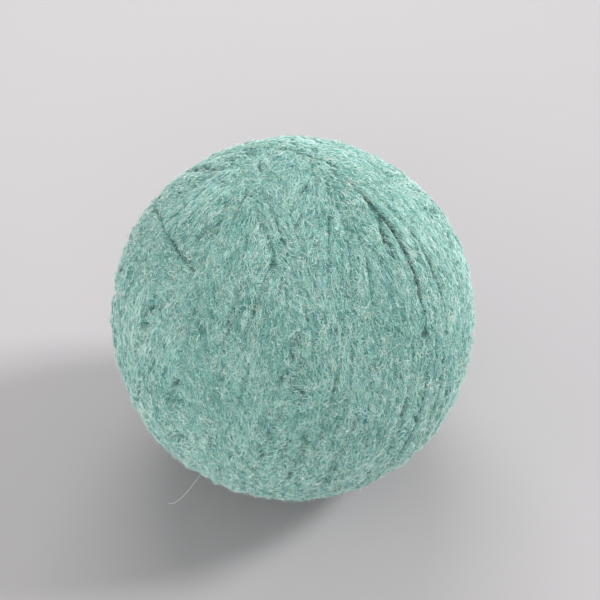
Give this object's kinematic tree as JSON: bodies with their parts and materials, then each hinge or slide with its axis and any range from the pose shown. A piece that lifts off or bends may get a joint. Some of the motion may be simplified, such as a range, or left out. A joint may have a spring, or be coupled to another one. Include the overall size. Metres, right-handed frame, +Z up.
{
  "type": "dryer ball",
  "caption": "Yarn-wound, felted wool dryer ball about the size of a tennis ball, with crossing bands of felted wraps over a wound core.",
  "frame": {"origin": "middle of the flat patch that the ball rests on, straight under the ball's centre", "axes": "+Z up through the ball's centre, +X to the right and -Y towards the side that shows the middle and right-edge bands"},
  "size_m": [0.07, 0.07, 0.0693],
  "materials": {
    "undyed_wool": "matte",
    "oatmeal_wool": "matte",
    "teal_wool": "matte",
    "seafoam_wool": "matte",
    "mint_wool": "matte"
  },
  "bodies": {
    "root": {"starter_bundle": "undyed_wool", "starter_waist_wraps": "oatmeal_wool", "core_first_layer": "undyed_wool", "core_second_layer": "oatmeal_wool", "core_third_layer": "undyed_wool", "core_fourth_layer": "oatmeal_wool", "core_felted_skin": "undyed_wool", "outer_under_layer": "teal_wool", "drawn_in_tail": "seafoam_wool", "first_wide_band": "teal_wool", "second_wide_band": "seafoam_wool", "third_wide_band": "mint_wool", "fourth_wide_band": "teal_wool", "nape_band": "seafoam_wool", "low_band": "teal_wool", "shoulder_band": "seafoam_wool", "crease_band": "teal_wool", "left_rim_band": "mint_wool", "left_face_band": "seafoam_wool", "diagonal_band": "mint_wool", "crossing_band": "teal_wool", "left_middle_band": "seafoam_wool", "middle_band": "teal_wool", "right_middle_band": "seafoam_wool", "right_edge_band": "teal_wool", "far_right_band": "mint_wool"}
  },
  "joints": []
}
